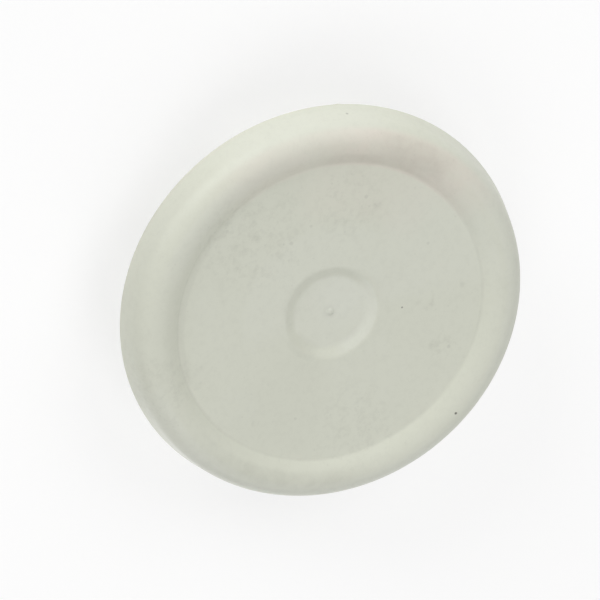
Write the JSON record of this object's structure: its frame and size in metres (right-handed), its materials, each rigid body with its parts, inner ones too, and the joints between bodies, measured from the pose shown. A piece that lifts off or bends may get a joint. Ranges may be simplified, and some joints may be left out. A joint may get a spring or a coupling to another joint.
{
  "type": "hole plug",
  "caption": "Round snap-in hole plug with a broad rounded rim, a recessed flat face with a shallow central dimple, and a ring of barbed snap fingers behind it.",
  "frame": {"origin": "centre of the panel's hole, in the plane of the panel's front surface that the foot of the rim sits on", "axes": "+Z out of the visible face, along the axis of the hole; X and Y in the panel's surface, with +X through the middle of one slot between two fingers"},
  "size_m": [0.05, 0.05, 0.0126],
  "materials": {
    "plastic": "off-white moulded plastic, faintly green, fine satin-matte moulded texture with slight grey scuffing"
  },
  "bodies": {
    "root": {"hole_plug": "plastic"}
  },
  "joints": []
}
